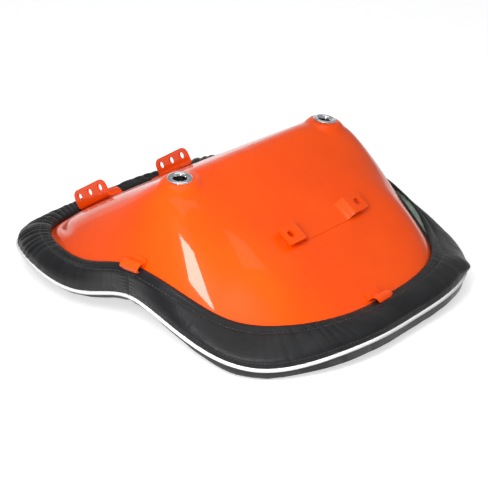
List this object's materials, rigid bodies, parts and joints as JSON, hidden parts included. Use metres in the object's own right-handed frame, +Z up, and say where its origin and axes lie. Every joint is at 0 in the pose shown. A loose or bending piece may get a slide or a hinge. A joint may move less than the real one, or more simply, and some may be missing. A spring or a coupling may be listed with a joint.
{
  "type": "tractor pan seat",
  "caption": "Pressed steel bucket seat pan with a padded slip-on cover, stored upside down, with hinge plates, a mounting strap and vents.",
  "frame": {"origin": "middle of the seat's outline, on the surface that the padded cover lies on", "axes": "+X across the seat to its right-hand edge as drawn, +Y towards the front edge of the seat, +Z up, which is out of the underside of the upturned pan"},
  "size_m": [0.3958, 0.4568, 0.1543],
  "materials": {
    "orange_paint": "high-gloss orange stove enamel on pressed steel",
    "black_vinyl": "matte black grained vinyl cloth, stitched",
    "white_vinyl": "smooth white vinyl piping",
    "chrome_plate": "bright nickel-chrome plated brass",
    "zinc_plate": "zinc-plated steel washer",
    "rebond_foam": "pale green rebonded foam crumb",
    "hem_cord": "braided black draw cord"
  },
  "bodies": {
    "root": {"seat_pan": "orange_paint", "hinge_plate_left": "orange_paint", "hinge_plate_right": "orange_paint", "rear_strap": "orange_paint", "vent_eyelet_left": "chrome_plate", "vent_eyelet_right": "chrome_plate", "eyelet_washer_left": "zinc_plate", "eyelet_washer_right": "zinc_plate", "hem_clip_front": "orange_paint", "hem_clip_top": "orange_paint", "hem_clip_left": "orange_paint", "hem_clip_right": "orange_paint", "seat_foam": "rebond_foam", "backrest_foam": "rebond_foam", "seat_face_panel": "black_vinyl", "backrest_face_panel": "black_vinyl", "seat_side_band": "black_vinyl", "backrest_side_band": "black_vinyl", "piping": "white_vinyl", "hem_cord": "hem_cord"}
  },
  "joints": []
}
